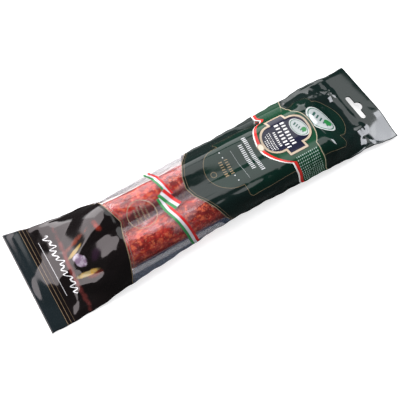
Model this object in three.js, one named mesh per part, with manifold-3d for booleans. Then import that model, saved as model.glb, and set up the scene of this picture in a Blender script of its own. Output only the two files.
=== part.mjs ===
// Pouch of cured sausage: two straight sausages lying side by side between two film webs that are sealed
// together all round, with a hang slot in the header and a label wrapped across the front.
// Millimetres. +X runs along the pack from the bottom seal to the header, +Y across it, +Z up.
// The origin is under the middle of the pack, on the surface that it lies on.
import * as THREE from 'three';
import { mergeVertices } from 'three/addons/utils/BufferGeometryUtils.js';
import Module from 'manifold-3d';

const wasm = await Module();
wasm.setup();

// ---- Driving dimensions ----

const SAUSAGE_DIAMETER = 34;
const SAUSAGE_LENGTH = 264;
const SAUSAGE_DOME = 20;          // length of each rounded end
const SAUSAGE_SPACING = 1;        // free width between the two sausages

const BOTTOM_SEAL = 17;           // depth of the welded band at the bottom end
const BOTTOM_ROOM = 55;           // from that band to the sausages' ends
const HEADER_ROOM = 38;           // from the sausages' other ends to the header
const HEADER_SEAL = 34;           // depth of the welded header
const END_WIDTH = 105;            // width of the flat pouch at both ends
const SAUSAGE_SHIFT = -7.8;       // the sausages lie this far off the pouch's middle line
const LEFT_MARGINS = [10.2, 15.2, 20.7];   // flat edge beside the +Y sausage: at its start, middle and end
const RIGHT_MARGINS = [9.3, 2.2, 4.8];     // the same beside the -Y sausage

const FILM = 0.4;                 // wall of each web
const CLEARANCE = 0.3;            // between pieces that touch
const DRAPE_SLACK = 0.3;          // extra room between a sausage and the web over it
const VALLEY_DEPTH = 3;           // how far the front web sinks between the sausages
const SHOULDER = 1;               // from a sausage's side to the foot of the front web's flank
const UNDER_SHOULDER = 0.8;       // the same to the end of the back web's rise
const MARGIN_RISE = 9;            // height of the side edges beside the sausages
const HEADER_LIFT = 8;            // height of the header's free end
const BOTTOM_TENT = 60;           // length over which the web comes down towards the bottom seal

const SLOT_LENGTH = 32;
const SLOT_WIDTH = 6;
const SLOT_HUMP = 10.5;           // diameter of the round bulge in the slot's middle
const SLOT_REACH = 11;            // from the slot's straight side to the top of the bulge
const SLOT_INSET = 10.5;          // from the header's inner edge to the slot's straight side

const LABEL = 0.3;                // thickness of the label
const LABEL_START = 78;           // from the middle of the sausages to the label's edge nearer the bottom
const LABEL_BAND = 30;            // along the pack, at the side edges
const LABEL_BULGE = 31;           // radius of the round bulge towards the bottom
const LABEL_CREST = 8;            // how far the other edge bows towards the header
const LABEL_FLAP = 8;             // folded round each side edge, as far as the flat margin reaches

// ---- Places worked out from them ----

const PACK_LENGTH = BOTTOM_SEAL + BOTTOM_ROOM + SAUSAGE_LENGTH + HEADER_ROOM + HEADER_SEAL;
const PACK_START = -PACK_LENGTH / 2;
const PACK_END = PACK_LENGTH / 2;
const SAUSAGE_START = PACK_START + BOTTOM_SEAL + BOTTOM_ROOM;
const SAUSAGE_END = SAUSAGE_START + SAUSAGE_LENGTH;
const HEADER_START = PACK_END - HEADER_SEAL;
const DRAPE_START = SAUSAGE_START + SAUSAGE_DOME;
const DRAPE_END = SAUSAGE_END - SAUSAGE_DOME;
const BOTTOM_FLAT = Math.max(DRAPE_START - BOTTOM_TENT, PACK_START + BOTTOM_SEAL);

const SAUSAGE_RADIUS = SAUSAGE_DIAMETER / 2;
const SAUSAGE_Y = SAUSAGE_SPACING / 2 + SAUSAGE_RADIUS;
const SAUSAGE_Z = FILM + CLEARANCE + SAUSAGE_RADIUS;
const SAUSAGE_SIDE = SAUSAGE_Y + SAUSAGE_RADIUS;
const FOOT = SAUSAGE_SIDE + SHOULDER;                  // where the front web's flank meets the flat margin
const UNDER_FOOT = SAUSAGE_SIDE + UNDER_SHOULDER;      // where the back web's rise meets it
const REST_HALF_WIDTH = SAUSAGE_Y + SAUSAGE_RADIUS / 2;  // half the width that lies flat on the surface
const DRAPE_RADIUS = SAUSAGE_RADIUS + CLEARANCE + DRAPE_SLACK;
const FLAT_SPREAD = 0.15;                              // how much wider the section lies where it is flat
const WELD_Z = FILM + CLEARANCE;                       // front web's inner face above the back web's underside

// ---- Shape of the pouch ----

const smooth = (v) => {
  const s = Math.min(Math.max(v, 0), 1);
  return s * s * (3 - 2 * s);
};

// How much of the full section the pouch has at x: 1 over the sausages, 0 where it lies flat.
function fullness(x) {
  if (x < DRAPE_START) return smooth((x - BOTTOM_FLAT) / (DRAPE_START - BOTTOM_FLAT));
  if (x > DRAPE_END) return smooth((HEADER_START - x) / (HEADER_START - DRAPE_END));
  return 1;
}

const lift = (x) => HEADER_LIFT * smooth((x - DRAPE_END) / (PACK_END - DRAPE_END));

// A value at x, from three values at the start, middle and end of the sausages.
function along(x, [start, middle, end]) {
  const share = Math.min(Math.max((x - SAUSAGE_START) / SAUSAGE_LENGTH, 0), 1) * 2;
  return share < 1 ? start + (middle - start) * smooth(share) : middle + (end - middle) * smooth(share - 1);
}

// How far a side edge has come in at x, from 0 at the pouch's ends to 1 beside the sausages. The +Y edge comes
// in along a straight line from the bottom corner, and the others come in as the pouch fills.
function narrowing(x, side) {
  if (side > 0 && x < DRAPE_START) return (x - PACK_START) / (DRAPE_START - PACK_START);
  return fullness(x);
}

// The pouch's side edge at x, on the +Y side (side 1) or the -Y side (side -1).
function edgeY(x, side) {
  const margins = side > 0 ? LEFT_MARGINS : RIGHT_MARGINS;
  const beside = SAUSAGE_SHIFT + side * (SAUSAGE_SIDE + along(x, margins));
  const flat = (side * END_WIDTH) / 2;
  return flat + (beside - flat) * narrowing(x, side);
}

// Where y of the section over the sausages lies at x: the section opens out as the pouch goes flat.
function placeY(x, y) {
  const opening = 1 + FLAT_SPREAD * (1 - fullness(x));
  return y * opening + SAUSAGE_SHIFT * fullness(x);
}

// A half section, given up to the foot of the flank, completed with the margin and put in place at x.
function sectionAt(x, half, height) {
  const side = (sign) => {
    const placed = half.map(([y, z]) => [placeY(x, sign * y), height(z)]);
    const [footY, footZ] = placed[placed.length - 1];
    const edge = edgeY(x, sign);
    return [...placed, [(footY + edge) / 2, footZ], [edge, footZ]];
  };
  return [...side(-1).reverse(), ...side(1).slice(1)];
}

// Half of the front web's inner face over the sausages, from the middle line to the foot, as [y, z] points.
// It sinks between the sausages, follows a sausage's top as an arc, and comes straight down to the margin.
function fullHalfSection() {
  const arcSteps = 8;
  const crown = SAUSAGE_Z + DRAPE_RADIUS;
  const footZ = MARGIN_RISE + WELD_Z;
  const tangent = (y, z, side) => {
    const reach = Math.hypot(y - SAUSAGE_Y, z - SAUSAGE_Z);
    const towards = Math.atan2(z - SAUSAGE_Z, y - SAUSAGE_Y);
    return towards - side * Math.acos(Math.min(DRAPE_RADIUS / reach, 1));
  };
  const inner = tangent(0, crown - VALLEY_DEPTH, 1);
  const outer = tangent(FOOT, footZ, -1);
  const points = [[0, crown - VALLEY_DEPTH]];
  for (let step = 0; step <= arcSteps; step++) {
    const angle = inner + ((outer - inner) * step) / arcSteps;
    points.push([SAUSAGE_Y + DRAPE_RADIUS * Math.cos(angle), SAUSAGE_Z + DRAPE_RADIUS * Math.sin(angle)]);
  }
  points.push([FOOT, footZ]);
  return points;
}

// The front web's inner face at x.
function frontSection(x) {
  const base = lift(x) + WELD_Z;
  return sectionAt(x, fullHalfSection(), (z) => base + (z - WELD_Z) * fullness(x));
}

// The back web's underside at x: flat under the sausages, rising to the margins.
function backSection(x) {
  const half = [[0, 0], [REST_HALF_WIDTH, 0]];
  for (const share of [0.33, 0.67, 1]) {
    half.push([REST_HALF_WIDTH + (UNDER_FOOT - REST_HALF_WIDTH) * share, MARGIN_RISE * smooth(share)]);
  }
  return sectionAt(x, half, (z) => lift(x) + z * fullness(x));
}

// A path of [y, z] points moved to its left by a distance, with mitred corners.
function offsetPath(path, distance) {
  const sharpest = 0.6;
  return path.map(([y, z], i) => {
    const before = path[Math.max(i - 1, 0)];
    const after = path[Math.min(i + 1, path.length - 1)];
    const first = i > 0 ? [y - before[0], z - before[1]] : [after[0] - y, after[1] - z];
    const second = i < path.length - 1 ? [after[0] - y, after[1] - z] : first;
    const a = Math.atan2(first[1], first[0]);
    const turn = Math.atan2(second[1], second[0]) - a;
    const half = Math.atan2(Math.sin(turn), Math.cos(turn)) / 2;
    const reach = distance / Math.max(Math.cos(half), sharpest);
    return [y - reach * Math.sin(a + half), z + reach * Math.cos(a + half)];
  });
}

// ---- Making closed bodies ----

function geometryOf(positions, indices) {
  const geometry = new THREE.BufferGeometry();
  geometry.setAttribute('position', new THREE.Float32BufferAttribute(positions, 3));
  geometry.setIndex(indices);
  geometry.computeVertexNormals();
  return geometry;
}

// A closed sheet between two grids of points, [x, y, z]: rows follow +X and each row runs from -Y to +Y.
function sheetBetween(lower, upper) {
  const rows = lower.length;
  const columns = lower[0].length;
  const positions = [...lower.flat(2), ...upper.flat(2)];
  const indices = [];
  const at = (side, row, column) => side * rows * columns + row * columns + column;
  const quad = (a, b, c, d) => indices.push(a, b, c, a, c, d);
  for (let i = 0; i < rows - 1; i++) {
    for (let k = 0; k < columns - 1; k++) {
      quad(at(1, i, k), at(1, i + 1, k), at(1, i + 1, k + 1), at(1, i, k + 1));
      quad(at(0, i, k), at(0, i, k + 1), at(0, i + 1, k + 1), at(0, i + 1, k));
    }
    const last = columns - 1;
    quad(at(0, i, 0), at(0, i + 1, 0), at(1, i + 1, 0), at(1, i, 0));
    quad(at(0, i, last), at(1, i, last), at(1, i + 1, last), at(0, i + 1, last));
  }
  for (let k = 0; k < columns - 1; k++) {
    const end = rows - 1;
    quad(at(0, 0, k), at(1, 0, k), at(1, 0, k + 1), at(0, 0, k + 1));
    quad(at(0, end, k), at(0, end, k + 1), at(1, end, k + 1), at(1, end, k));
  }
  return geometryOf(positions, indices);
}

function solidOf(geometry) {
  const bare = geometry.clone();
  bare.deleteAttribute('normal');
  bare.deleteAttribute('uv');
  const merged = mergeVertices(bare);
  return new wasm.Manifold(new wasm.Mesh({
    numProp: 3,
    vertProperties: new Float32Array(merged.attributes.position.array),
    triVerts: new Uint32Array(merged.index.array),
  }));
}

function geometryFrom(solid) {
  const mesh = solid.getMesh();
  return geometryOf(mesh.vertProperties, Array.from(mesh.triVerts));
}

// Places along X where a web's section is taken: close together where the shape changes.
function stations() {
  const places = [PACK_START];
  const upTo = (end, steps) => {
    const start = places[places.length - 1];
    for (let step = 1; step <= steps; step++) places.push(start + ((end - start) * step) / steps);
  };
  upTo(BOTTOM_FLAT, 1);
  upTo(DRAPE_START, 10);
  upTo(DRAPE_END, 4);
  upTo(HEADER_START, 10);
  upTo(PACK_END, 4);
  return places;
}

const at = (x) => ([y, z]) => [x, y, z];

// ---- Pieces ----

// The hang slot, as a solid that passes through both webs: a round-ended bar with a round bulge.
function hangSlot() {
  const passing = 40;
  const barX = HEADER_START + SLOT_INSET + SLOT_WIDTH / 2;
  const end = SLOT_LENGTH / 2 - SLOT_WIDTH / 2;
  const outline = new THREE.Shape();
  outline.moveTo(barX + SLOT_WIDTH / 2, -end);
  outline.lineTo(barX + SLOT_WIDTH / 2, end);
  outline.absarc(barX, end, SLOT_WIDTH / 2, 0, Math.PI);
  outline.lineTo(barX - SLOT_WIDTH / 2, -end);
  outline.absarc(barX, -end, SLOT_WIDTH / 2, Math.PI, 2 * Math.PI);
  const bar = new THREE.ExtrudeGeometry(outline, { depth: passing, bevelEnabled: false, curveSegments: 8 });
  const bulge = new THREE.CylinderGeometry(SLOT_HUMP / 2, SLOT_HUMP / 2, passing, 24);
  bulge.rotateX(Math.PI / 2);
  bulge.translate(barX - SLOT_WIDTH / 2 + SLOT_REACH - SLOT_HUMP / 2, 0, passing / 2);
  return solidOf(bar).add(solidOf(bulge)).translate([0, 0, -passing / 4]);
}

function frontFilm() {
  const inner = stations().map((x) => frontSection(x).map(at(x)));
  const outer = stations().map((x) => offsetPath(frontSection(x), FILM).map(at(x)));
  return geometryFrom(solidOf(sheetBetween(inner, outer)).subtract(hangSlot()));
}

function backFilm() {
  const under = stations().map((x) => backSection(x).map(at(x)));
  const over = stations().map((x) => backSection(x).map(([y, z]) => [x, y, z + FILM]));
  return geometryFrom(solidOf(sheetBetween(under, over)).subtract(hangSlot()));
}

// A straight sausage with rounded ends, lying along X.
function sausage() {
  const sides = 28;
  const domeSteps = 8;
  const half = SAUSAGE_LENGTH / 2;
  const profile = [];
  for (let step = 0; step <= domeSteps; step++) {
    const angle = (Math.PI / 2) * (step / domeSteps);
    const along = half - SAUSAGE_DOME + SAUSAGE_DOME * Math.cos(angle);
    profile.push(new THREE.Vector2(SAUSAGE_RADIUS * Math.sin(angle), -along));
  }
  const other = profile.map((point) => new THREE.Vector2(point.x, -point.y)).reverse();
  profile[0].x = 0;
  other[other.length - 1].x = 0;
  const geometry = new THREE.LatheGeometry([...profile, ...other], sides);
  geometry.rotateZ(-Math.PI / 2);
  geometry.translate((SAUSAGE_START + SAUSAGE_END) / 2, 0, 0);
  return geometryFrom(solidOf(geometry));
}

// The label's inner face at x: over the front web, round both side edges and under the margins.
function labelSection(x) {
  const front = offsetPath(frontSection(x), WELD_Z);
  const under = lift(x) + MARGIN_RISE * fullness(x) - CLEARANCE;
  const fold = (sign, top) => {
    const side = edgeY(x, sign) + sign * CLEARANCE;
    const flap = Math.min(LABEL_FLAP, Math.abs(side - placeY(x, sign * UNDER_FOOT)));
    return [[side - sign * flap, under], [side, under], [side, top]];
  };
  const last = front.length - 1;
  return [...fold(-1, front[0][1]), ...front.slice(1, last), ...fold(1, front[last][1]).reverse()];
}

function wrapLabel() {
  const columns = 6;
  const middle = (SAUSAGE_START + SAUSAGE_END) / 2;
  const start = (y) => LABEL_START - Math.sqrt(Math.max(LABEL_BULGE ** 2 - y ** 2, 0));
  const end = (y) => LABEL_START + LABEL_BAND + LABEL_CREST * Math.max(1 - (y / LABEL_BULGE) ** 2, 0);
  const across = labelSection(middle + LABEL_START).map(([y]) => y);
  const inner = [];
  const outer = [];
  for (let column = 0; column <= columns; column++) {
    const share = column / columns;
    const places = across.map((y) => middle + start(y) + (end(y) - start(y)) * share);
    inner.push(places.map((x, k) => at(x)(labelSection(x)[k])));
    outer.push(places.map((x, k) => at(x)(offsetPath(labelSection(x), LABEL)[k])));
  }
  return geometryFrom(solidOf(sheetBetween(inner, outer)));
}

// ---- Assembly ----

const film = { color: 0x0d1c17, roughness: 0.18, metalness: 0 };
const meat = { color: 0x8c1f1c, roughness: 0.45, metalness: 0 };
const paper = { color: 0x0f3325, roughness: 0.3, metalness: 0 };

const pack = new THREE.Group();

function addPiece(name, geometry, look, y = 0, z = 0) {
  const mesh = new THREE.Mesh(geometry, new THREE.MeshStandardMaterial(look));
  mesh.name = name;
  mesh.position.set(0, y, z);
  pack.add(mesh);
}

addPiece('back_film', backFilm(), film);
addPiece('sausage_left', sausage(), meat, SAUSAGE_SHIFT + SAUSAGE_Y, SAUSAGE_Z);
addPiece('sausage_right', sausage(), meat, SAUSAGE_SHIFT - SAUSAGE_Y, SAUSAGE_Z);
addPiece('front_film', frontFilm(), film);
addPiece('wrap_label', wrapLabel(), paper);

export default pack;
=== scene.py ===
"""Looks of the cured sausage pack: two sausages in a glossy printed pouch with a wrap label.

Metres, in the frame of the CAD model: +X from the bottom seal to the header, +Y across, +Z up.
"""

import logging
import math
from dataclasses import dataclass, field
from enum import Enum
from functools import reduce
from typing import Callable, Sequence

import bpy
import numpy as np
from mathutils import Matrix, Vector, noise
from mathutils.geometry import delaunay_2d_cdt


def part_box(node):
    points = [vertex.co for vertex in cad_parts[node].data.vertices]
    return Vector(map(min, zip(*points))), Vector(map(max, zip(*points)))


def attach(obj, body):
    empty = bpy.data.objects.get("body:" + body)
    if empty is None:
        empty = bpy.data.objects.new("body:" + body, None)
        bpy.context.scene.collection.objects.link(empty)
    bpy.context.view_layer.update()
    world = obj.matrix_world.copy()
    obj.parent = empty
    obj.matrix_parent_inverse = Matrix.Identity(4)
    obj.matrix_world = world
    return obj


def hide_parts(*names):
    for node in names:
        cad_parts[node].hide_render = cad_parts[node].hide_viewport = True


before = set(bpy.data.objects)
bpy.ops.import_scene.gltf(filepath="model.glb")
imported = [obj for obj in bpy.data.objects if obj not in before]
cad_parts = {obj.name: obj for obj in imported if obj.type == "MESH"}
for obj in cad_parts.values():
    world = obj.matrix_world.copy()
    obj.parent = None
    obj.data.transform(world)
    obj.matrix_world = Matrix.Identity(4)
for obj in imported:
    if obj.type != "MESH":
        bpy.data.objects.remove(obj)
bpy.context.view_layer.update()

log = logging.getLogger("pack")
MM = 0.001
Colour = tuple[float, float, float]
Grid = np.ndarray


class Side(Enum):
    """A long side of the pack; its value is the side's direction along Y."""

    FAR = 1
    NEAR = -1


class Face(Enum):
    """A web of the pouch."""

    FRONT = "front"
    BACK = "back"


# ---------------------------------------------------------------- shader maths


class Wire:
    """A shader socket that Python's operators work on; each operator adds a Math node."""

    def __init__(self, bench: "Bench", socket: object) -> None:
        """Keeps the socket.

        Args:
            bench: the material's node bench.
            socket: the output socket.
        """
        self.bench = bench
        self.socket = socket

    def math(self, operation: str, *others: object) -> "Wire":
        """One Math node on this value.

        Args:
            operation: the Math node's operation.
            others: its further inputs, as wires or numbers.

        Returns:
            The result.
        """
        return self.bench.math(operation, self, *others)

    def __add__(self, other: object) -> "Wire":
        """Sum."""
        return self.math("ADD", other)

    __radd__ = __add__

    def __sub__(self, other: object) -> "Wire":
        """Difference."""
        return self.math("SUBTRACT", other)

    def __rsub__(self, other: object) -> "Wire":
        """Difference, reflected."""
        return self.bench.math("SUBTRACT", other, self)

    def __mul__(self, other: object) -> "Wire":
        """Product."""
        return self.math("MULTIPLY", other)

    __rmul__ = __mul__

    def __truediv__(self, other: object) -> "Wire":
        """Quotient."""
        return self.math("DIVIDE", other)

    def __abs__(self) -> "Wire":
        """Absolute value."""
        return self.math("ABSOLUTE")

    def __neg__(self) -> "Wire":
        """Opposite."""
        return self.math("MULTIPLY", -1.0)

    def low(self, other: object) -> "Wire":
        """Smaller of two values."""
        return self.math("MINIMUM", other)

    def high(self, other: object) -> "Wire":
        """Larger of two values."""
        return self.math("MAXIMUM", other)

    def root(self) -> "Wire":
        """Square root."""
        return self.math("SQRT")

    def fraction(self) -> "Wire":
        """Fractional part."""
        return self.math("FRACT")

    def floor(self) -> "Wire":
        """Whole part."""
        return self.math("FLOOR")

    def sine(self) -> "Wire":
        """Sine."""
        return self.math("SINE")

    def ramp(self, start: float, end: float) -> "Wire":
        """Smooth step from 0 at start to 1 at end."""
        return self.bench.add(
            "ShaderNodeMapRange",
            {"interpolation_type": "SMOOTHSTEP"},
            {"Value": self, "From Min": start, "From Max": end},
        )


Value = Wire | Grid


def larger(value: Value, other: float) -> Value:
    """Larger of two values, on a wire or an array."""
    return value.high(other) if isinstance(value, Wire) else np.maximum(value, other)


def smaller(value: Value, other: float) -> Value:
    """Smaller of two values, on a wire or an array."""
    return value.low(other) if isinstance(value, Wire) else np.minimum(value, other)


def root(value: Value) -> Value:
    """Square root of a wire or an array."""
    return value.root() if isinstance(value, Wire) else np.sqrt(value)


def above(value: Value, edge: float) -> Value:
    """1 where a wire or an array is above an edge, and 0 elsewhere."""
    return value.math("GREATER_THAN", edge) if isinstance(value, Wire) else (value > edge) * 1.0


def joined(masks: Sequence[Wire]) -> Wire:
    """One mask of all that several masks cover."""
    return reduce(Wire.high, masks)


class Bench:
    """Makes the nodes of one material."""

    def __init__(self, name: str) -> None:
        """Starts an empty material.

        Args:
            name: the material's name.
        """
        self.material = bpy.data.materials.new(name)
        self.material.use_nodes = True
        self.tree = self.material.node_tree
        self.tree.nodes.clear()

    def plug(self, socket: object, value: object) -> None:
        """Links a wire to an input socket, or sets the socket's own value.

        Args:
            socket: the input socket.
            value: a wire, a number, a vector or a colour.
        """
        if isinstance(value, Wire):
            self.tree.links.new(value.socket, socket)
        elif isinstance(value, tuple) and len(value) == 3 and socket.type == "RGBA":
            socket.default_value = (*value, 1.0)
        else:
            socket.default_value = value

    def make(self, kind: str, settings: dict, inputs: dict) -> object:
        """Adds a node of any type.

        Args:
            kind: the node's type name.
            settings: its properties, set first.
            inputs: values or wires by socket name or number.

        Returns:
            The node.
        """
        node = self.tree.nodes.new(kind)
        for key, value in settings.items():
            setattr(node, key, value)
        for key, value in inputs.items():
            self.plug(node.inputs[key], value)
        return node

    def add(self, kind: str, settings: dict, inputs: dict, output: object = 0) -> Wire:
        """Adds a node and gives one of its outputs as a wire."""
        return Wire(self, self.make(kind, settings, inputs).outputs[output])

    def math(self, operation: str, *values: object) -> Wire:
        """A Math node on wires or numbers."""
        return self.add("ShaderNodeMath", {"operation": operation}, dict(enumerate(values)))

    def mix(self, share: object, first: object, second: object) -> Wire:
        """A colour mixed from two colours by a share."""
        return self.add("ShaderNodeMix", {"data_type": "RGBA"}, {0: share, 6: first, 7: second}, 2)

    def noise(self, where: Wire, scale: float, detail: float = 2.0, rough: float = 0.5) -> Wire:
        """A noise value from 0 to 1."""
        return self.add(
            "ShaderNodeTexNoise",
            {"noise_dimensions": "3D"},
            {"Vector": where, "Scale": scale, "Detail": detail, "Roughness": rough},
        )

    def place(self) -> Wire:
        """The point's own place on the piece, in metres."""
        return self.add("ShaderNodeTexCoord", {}, {}, "Object")

    def surface(self, inputs: dict) -> Wire:
        """A Principled shader with some of its sockets filled."""
        return self.add("ShaderNodeBsdfPrincipled", {}, inputs)

    def stretched(self, where: Wire, scale: tuple) -> Wire:
        """A place scaled along its axes."""
        return self.add("ShaderNodeMapping", {}, {"Vector": where, "Scale": scale})

    def print_place(self) -> "Print":
        """A drawing place on the flat print, in millimetres.

        Returns:
            The print, with u along the pack and v across it.
        """
        uv = self.add("ShaderNodeUVMap", {"uv_map": "print"}, {})
        split = self.make("ShaderNodeSeparateXYZ", {}, {0: uv})
        u, v = (Wire(self, split.outputs[axis]) * (1 / MM) for axis in (0, 1))
        return Print(u, v)

    def output(self, surface: Wire) -> bpy.types.Material:
        """Ends the material with its surface shader."""
        self.make("ShaderNodeOutputMaterial", {}, {"Surface": surface})
        return self.material


# ---------------------------------------------------------------- print shapes


@dataclass
class Print:
    """Draws flat shapes at a place on the print, in millimetres; each mask is 1 inside."""

    u: Wire
    v: Wire
    soft: float = 0.18

    def inside(self, distance: Wire) -> Wire:
        """Mask of where a signed distance is negative."""
        return 1.0 - distance.ramp(-self.soft, self.soft)

    def line(self, distance: Wire, width: float) -> Wire:
        """Mask of a line of a width along a distance's zero."""
        return self.inside(abs(distance) - width / 2)

    def beyond(self, value: Wire, edge: float) -> Wire:
        """Mask of where a value is above an edge."""
        return value.ramp(edge - self.soft, edge + self.soft)

    def box(self, centre: tuple, size: tuple, corner: float = 0.0, turn: float = 0.0) -> Wire:
        """Signed distance to a rectangle with round corners.

        Args:
            centre: its centre.
            size: its whole length along u and v.
            corner: the corners' radius.
            turn: its turn in degrees.

        Returns:
            The distance.
        """
        a, b = self.turned(centre, turn)
        x = abs(a) - (size[0] / 2 - corner)
        y = abs(b) - (size[1] / 2 - corner)
        outside = (x.high(0.0) * x.high(0.0) + y.high(0.0) * y.high(0.0)).root()
        return outside + x.high(y).low(0.0) - corner

    def turned(self, centre: tuple, turn: float) -> tuple[Wire, Wire]:
        """The place seen from a centre, on turned axes.

        Args:
            centre: the centre.
            turn: the axes' turn in degrees.

        Returns:
            The places along the two axes.
        """
        a, b = self.u - centre[0], self.v - centre[1]
        if not turn:
            return a, b
        c, s = math.cos(math.radians(turn)), math.sin(math.radians(turn))
        return a * c + b * s, b * c - a * s

    def oval(self, centre: tuple, size: tuple, turn: float = 0.0) -> Wire:
        """Rough signed distance to an ellipse.

        Args:
            centre: its centre.
            size: its whole length along u and v.
            turn: its turn in degrees.

        Returns:
            The distance.
        """
        a, b = self.turned(centre, turn)
        a, b = a * (2 / size[0]), b * (2 / size[1])
        return ((a * a + b * b).root() - 1.0) * (min(size) / 2)

    def blocks(self, centre: tuple, size: tuple, count: int, turn: float, seed: float) -> Wire:
        """A row of small upright blocks, like a line of print too small to read.

        Args:
            centre: the row's centre.
            size: the row's whole length and height.
            count: how many blocks it has.
            turn: the row's direction in degrees.
            seed: changes the blocks' widths.

        Returns:
            The mask.
        """
        a, b = self.turned(centre, turn)
        cell = a * (count / size[0]) + count / 2 + 0.001
        step = size[0] / count
        vary = ((cell.floor() + seed) * 12.9898).sine() * 43758.547
        half_block = vary.fraction().high(0.0) * 0.13 + 0.16
        on_block = self.inside((abs(cell.fraction() - 0.5) - half_block) * step)
        on_row = self.inside((abs(a) - size[0] / 2).high(abs(b) - size[1] / 2))
        return on_block * on_row


@dataclass(frozen=True)
class Row:
    """A row of blocks in place of a line of print; lengths in millimetres on the print."""

    centre: tuple
    size: tuple
    count: int
    turn: float = 85.0

    def mask(self, draw: Print) -> Wire:
        """The row's mask, with widths that vary with its place along the pack."""
        return draw.blocks(self.centre, self.size, self.count, self.turn, self.centre[0])


@dataclass(frozen=True)
class Spot:
    """An oval patch of the printed picture; lengths in millimetres on the print."""

    centre: tuple
    size: tuple
    turn: float
    colour: Colour = (0.0, 0.0, 0.0)


# ---------------------------------------------------------------- shape of the pouch


def smooth(value: Grid) -> Grid:
    """Smooth step from 0 to 1."""
    share = np.clip(value, 0.0, 1.0)
    return share * share * (3.0 - 2.0 * share)


@dataclass
class PouchForm:
    """The filled pouch's smooth shape, from the CAD pieces' boxes and the design's own sizes."""

    header: float = 34 * MM
    bottom_tent: float = 60 * MM
    dome: float = 20 * MM
    sausage_shift: float = -7.8 * MM
    far_margins: tuple = (10.2 * MM, 15.2 * MM, 20.7 * MM)
    near_margins: tuple = (9.3 * MM, 2.2 * MM, 4.8 * MM)
    film: float = 0.4 * MM
    clearance: float = 0.3 * MM
    slack: float = 0.3 * MM
    valley: float = 2.6 * MM
    far_shoulder: float = 13 * MM
    under_shoulder: float = 0.8 * MM
    least_shoulder: float = 1.2 * MM
    lip: float = 1.5 * MM
    margin_rise: float = 9 * MM
    header_lift: float = 8 * MM
    bottom_flare: float = 1.2 * MM
    header_taper: float = 2.2 * MM
    far_bulge: tuple = (150 * MM, 3 * MM)
    near_dent: tuple = (163 * MM, 3.2 * MM)
    dent_reach: float = 35 * MM
    waver: float = 0.35 * MM
    waver_pace: tuple = (190.0, 437.0)
    curl_depth: float = 5.5 * MM
    curl_start: tuple = (168 * MM, -12 * MM)
    curl_reach: tuple = (32 * MM, 36 * MM)
    flat_spread: float = 0.15
    print_shift: tuple = (1.32 * MM, -3.74 * MM)
    start: float = field(init=False)
    end: float = field(init=False)

    def __post_init__(self) -> None:
        """Takes the places that the CAD boxes give."""
        low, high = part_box("front_film")
        left_low, left_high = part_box("sausage_left")
        self.start, self.end = low.x, high.x
        self.half_end_width = (high.y - low.y) / 2
        self.meat_start, self.meat_end = left_low.x, left_high.x
        self.radius = (left_high.z - left_low.z) / 2
        self.meat_y = (left_low.y + left_high.y) / 2 - self.sausage_shift
        self.meat_z = (left_low.z + left_high.z) / 2
        self.header_start = self.end - self.header
        self.drape_start = self.meat_start + self.dome
        self.drape_end = self.meat_end - self.dome
        self.bottom_flat = self.drape_start - self.bottom_tent
        self.side = self.meat_y + self.radius
        self.weld = self.film + self.clearance
        self.crown = self.meat_z + self.radius + self.clearance + self.slack + self.film

    def fullness(self, x: Grid) -> Grid:
        """How much of the full section the pouch has.

        Args:
            x: places along the pack.

        Returns:
            1 over the sausages, 0 where the pouch is flat.
        """
        rising = smooth((x - self.bottom_flat) / (self.drape_start - self.bottom_flat))
        falling = smooth((self.header_start - x) / (self.header_start - self.drape_end))
        return rising * falling

    def lift(self, x: Grid) -> Grid:
        """Height of the flat film above the surface at x."""
        return self.header_lift * smooth((x - self.drape_end) / (self.end - self.drape_end))

    def along(self, x: Grid, values: tuple) -> Grid:
        """A value that changes along the sausages.

        Args:
            x: places along the pack.
            values: the value at the sausages' start, middle and end.

        Returns:
            The value at each place.
        """
        share = np.clip((x - self.meat_start) / (self.meat_end - self.meat_start), 0, 1) * 2
        first, middle, last = values
        return first + (middle - first) * smooth(share) + (last - middle) * smooth(share - 1)

    def narrowing(self, x: Grid, side: Side) -> Grid:
        """How far a side edge has come in at x, from 0 at the ends to 1 beside the sausages."""
        straight = (x - self.start) / (self.drape_start - self.start)
        return np.where((side is Side.FAR) & (x < self.drape_start), straight, self.fullness(x))

    def local(self, x: Grid, change: tuple) -> Grid:
        """A change of a side edge near one place, given as its place and height."""
        return change[1] * smooth(1 - abs(x - change[0]) / self.dent_reach)

    def edge(self, x: Grid, side: Side) -> Grid:
        """The pouch's side edge.

        Args:
            x: places along the pack.
            side: which edge.

        Returns:
            The edge's place across the pack.
        """
        margins = self.far_margins if side is Side.FAR else self.near_margins
        beside = self.sausage_shift + side.value * (self.side + self.along(x, margins))
        flare = np.where(x < 0, self.bottom_flare, -self.header_taper)
        flat = side.value * (self.half_end_width + flare)
        change = self.local(x, self.far_bulge) if side is Side.FAR else -self.local(x, self.near_dent)
        slow, quick = self.waver_pace
        waver = self.waver * (np.sin(x * slow + side.value) + 0.6 * np.sin(x * quick + 2 * side.value))
        inwards = self.narrowing(x, side)
        return flat + (beside - flat) * inwards + side.value * (change + waver)

    def curl(self, x: Grid, y: Grid) -> Grid:
        """How far the header's near corner bends down at a place."""
        (x0, y0), (along, across) = self.curl_start, self.curl_reach
        return -self.curl_depth * smooth((y0 - y) / across) * smooth((x - x0) / along)

    def top_half(self, foot: float) -> Grid:
        """Half of the front web's outer face, over the sausages.

        Args:
            foot: how far from the middle line it comes down.

        Returns:
            Its (y, z) points from the middle line to the foot.
        """
        radius = self.crown - self.meat_z
        foot_z = self.margin_rise + self.weld + self.film
        valley_z = self.crown - self.valley

        def tangent(y: float, z: float, side: int) -> float:
            """Angle where a line touches the web's arc.

            Args:
                y: the line's start across the pack.
                z: the line's start in height.
                side: 1 where it touches on its left, -1 on its right.

            Returns:
                The angle in radians.
            """
            reach = math.hypot(y - self.meat_y, z - self.meat_z)
            towards = math.atan2(z - self.meat_z, y - self.meat_y)
            return towards - side * math.acos(min(radius / reach, 1.0))

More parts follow.
